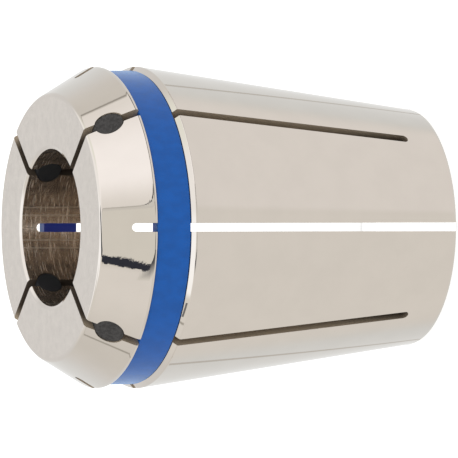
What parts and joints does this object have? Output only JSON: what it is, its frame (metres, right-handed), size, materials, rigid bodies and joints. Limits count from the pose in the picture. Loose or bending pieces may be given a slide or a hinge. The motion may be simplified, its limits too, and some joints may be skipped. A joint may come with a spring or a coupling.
{
  "type": "er collet",
  "caption": "Slotted spring collet with a long taper, a nose cone, a through bore, a closed ring in its nose groove and round rubber seals in its front slots.",
  "frame": {"origin": "centre of the small rear face, on which the collet stands", "axes": "+Z along the bore axis, from the rear face to the front face; the rear slots lie along X and Y, and the front slots between them"},
  "size_m": [0.0328, 0.0328, 0.04],
  "materials": {
    "collet_steel": "ground and polished",
    "ring_polymer": "satin",
    "seal_rubber": "matte"
  },
  "bodies": {
    "root": {"collet_body": "collet_steel", "groove_ring": "ring_polymer", "seal_plug_1": "seal_rubber", "seal_plug_2": "seal_rubber", "seal_plug_3": "seal_rubber", "seal_plug_4": "seal_rubber"}
  },
  "joints": []
}
